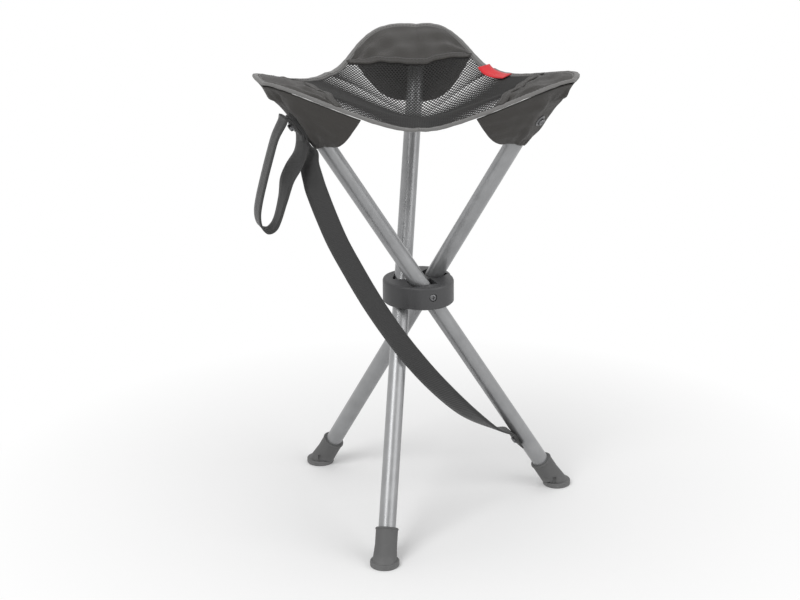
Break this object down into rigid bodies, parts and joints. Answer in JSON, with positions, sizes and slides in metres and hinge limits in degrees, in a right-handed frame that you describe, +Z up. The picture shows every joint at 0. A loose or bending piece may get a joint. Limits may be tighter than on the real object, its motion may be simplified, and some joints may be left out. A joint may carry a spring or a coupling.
{
  "type": "folding tripod stool",
  "caption": "Folding tripod camp stool: crossed tube legs pivot in a moulded hub under a triangular mesh sling, with rubber feet and a carrying strap.",
  "frame": {"origin": "on the floor, under the middle of the stool's outline in plan", "axes": "+Z up; the front foot (the lower end of the back leg) is towards -Y and the back corner of the seat towards +Y; +X is the sitter's left-to-right seen from the front"},
  "size_m": [0.297, 0.3088, 0.4408],
  "materials": {
    "tube": "satin powder coat",
    "rubber": "matt",
    "moulded_plastic": "satin",
    "woven_cloth": "coated polyester weave",
    "mesh_cloth": "open mesh",
    "binding_tape": "woven tape",
    "webbing": "woven webbing",
    "tag_cloth": "satin ribbon",
    "steel": "zinc plated"
  },
  "bodies": {
    "hub": {"hub_block": "moulded_plastic", "pivot_screws": "steel", "seat_mesh": "mesh_cloth", "edge_binding": "binding_tape", "side_tag": "tag_cloth"},
    "back_leg": {"back_tube": "tube", "back_foot": "rubber", "back_plug": "moulded_plastic", "back_pocket": "woven_cloth", "back_panel": "woven_cloth", "back_washer": "steel", "back_screw": "steel"},
    "left_leg": {"left_tube": "tube", "left_foot": "rubber", "left_plug": "moulded_plastic", "left_pocket": "woven_cloth", "left_panel": "woven_cloth", "left_washer": "steel", "left_screw": "steel", "carry_strap": "webbing", "strap_loop": "webbing", "strap_screw": "steel"},
    "right_leg": {"right_tube": "tube", "right_foot": "rubber", "right_plug": "moulded_plastic", "right_pocket": "woven_cloth", "right_panel": "woven_cloth", "right_washer": "steel", "right_screw": "steel"}
  },
  "joints": [
    {"name": "back_leg_fold", "type": "hinge", "parent": "hub", "child": "back_leg", "pos_m": [-0.01702, -0.00219, 0.22146], "axis": [0.991, -0.134, 0], "range_deg": [0, 32.3], "deforming": ["back_pocket", "back_panel", "seat_mesh", "edge_binding", "side_tag"]},
    {"name": "left_leg_fold", "type": "hinge", "parent": "hub", "child": "left_leg", "pos_m": [0.0049, -0.01914, 0.22146], "axis": [-0.3795, 0.9252, 0], "range_deg": [0, 32.3], "deforming": ["left_pocket", "left_panel", "carry_strap", "strap_loop"]},
    {"name": "right_leg_fold", "type": "hinge", "parent": "hub", "child": "right_leg", "pos_m": [0.00862, 0.00833, 0.22146], "axis": [-0.6115, -0.7912, 0], "range_deg": [0, 32.3], "deforming": ["right_pocket", "right_panel"]}
  ],
  "couplings": [
    {"joint": "left_leg_fold", "follows": "back_leg_fold", "ratio": 1},
    {"joint": "right_leg_fold", "follows": "back_leg_fold", "ratio": 1}
  ]
}
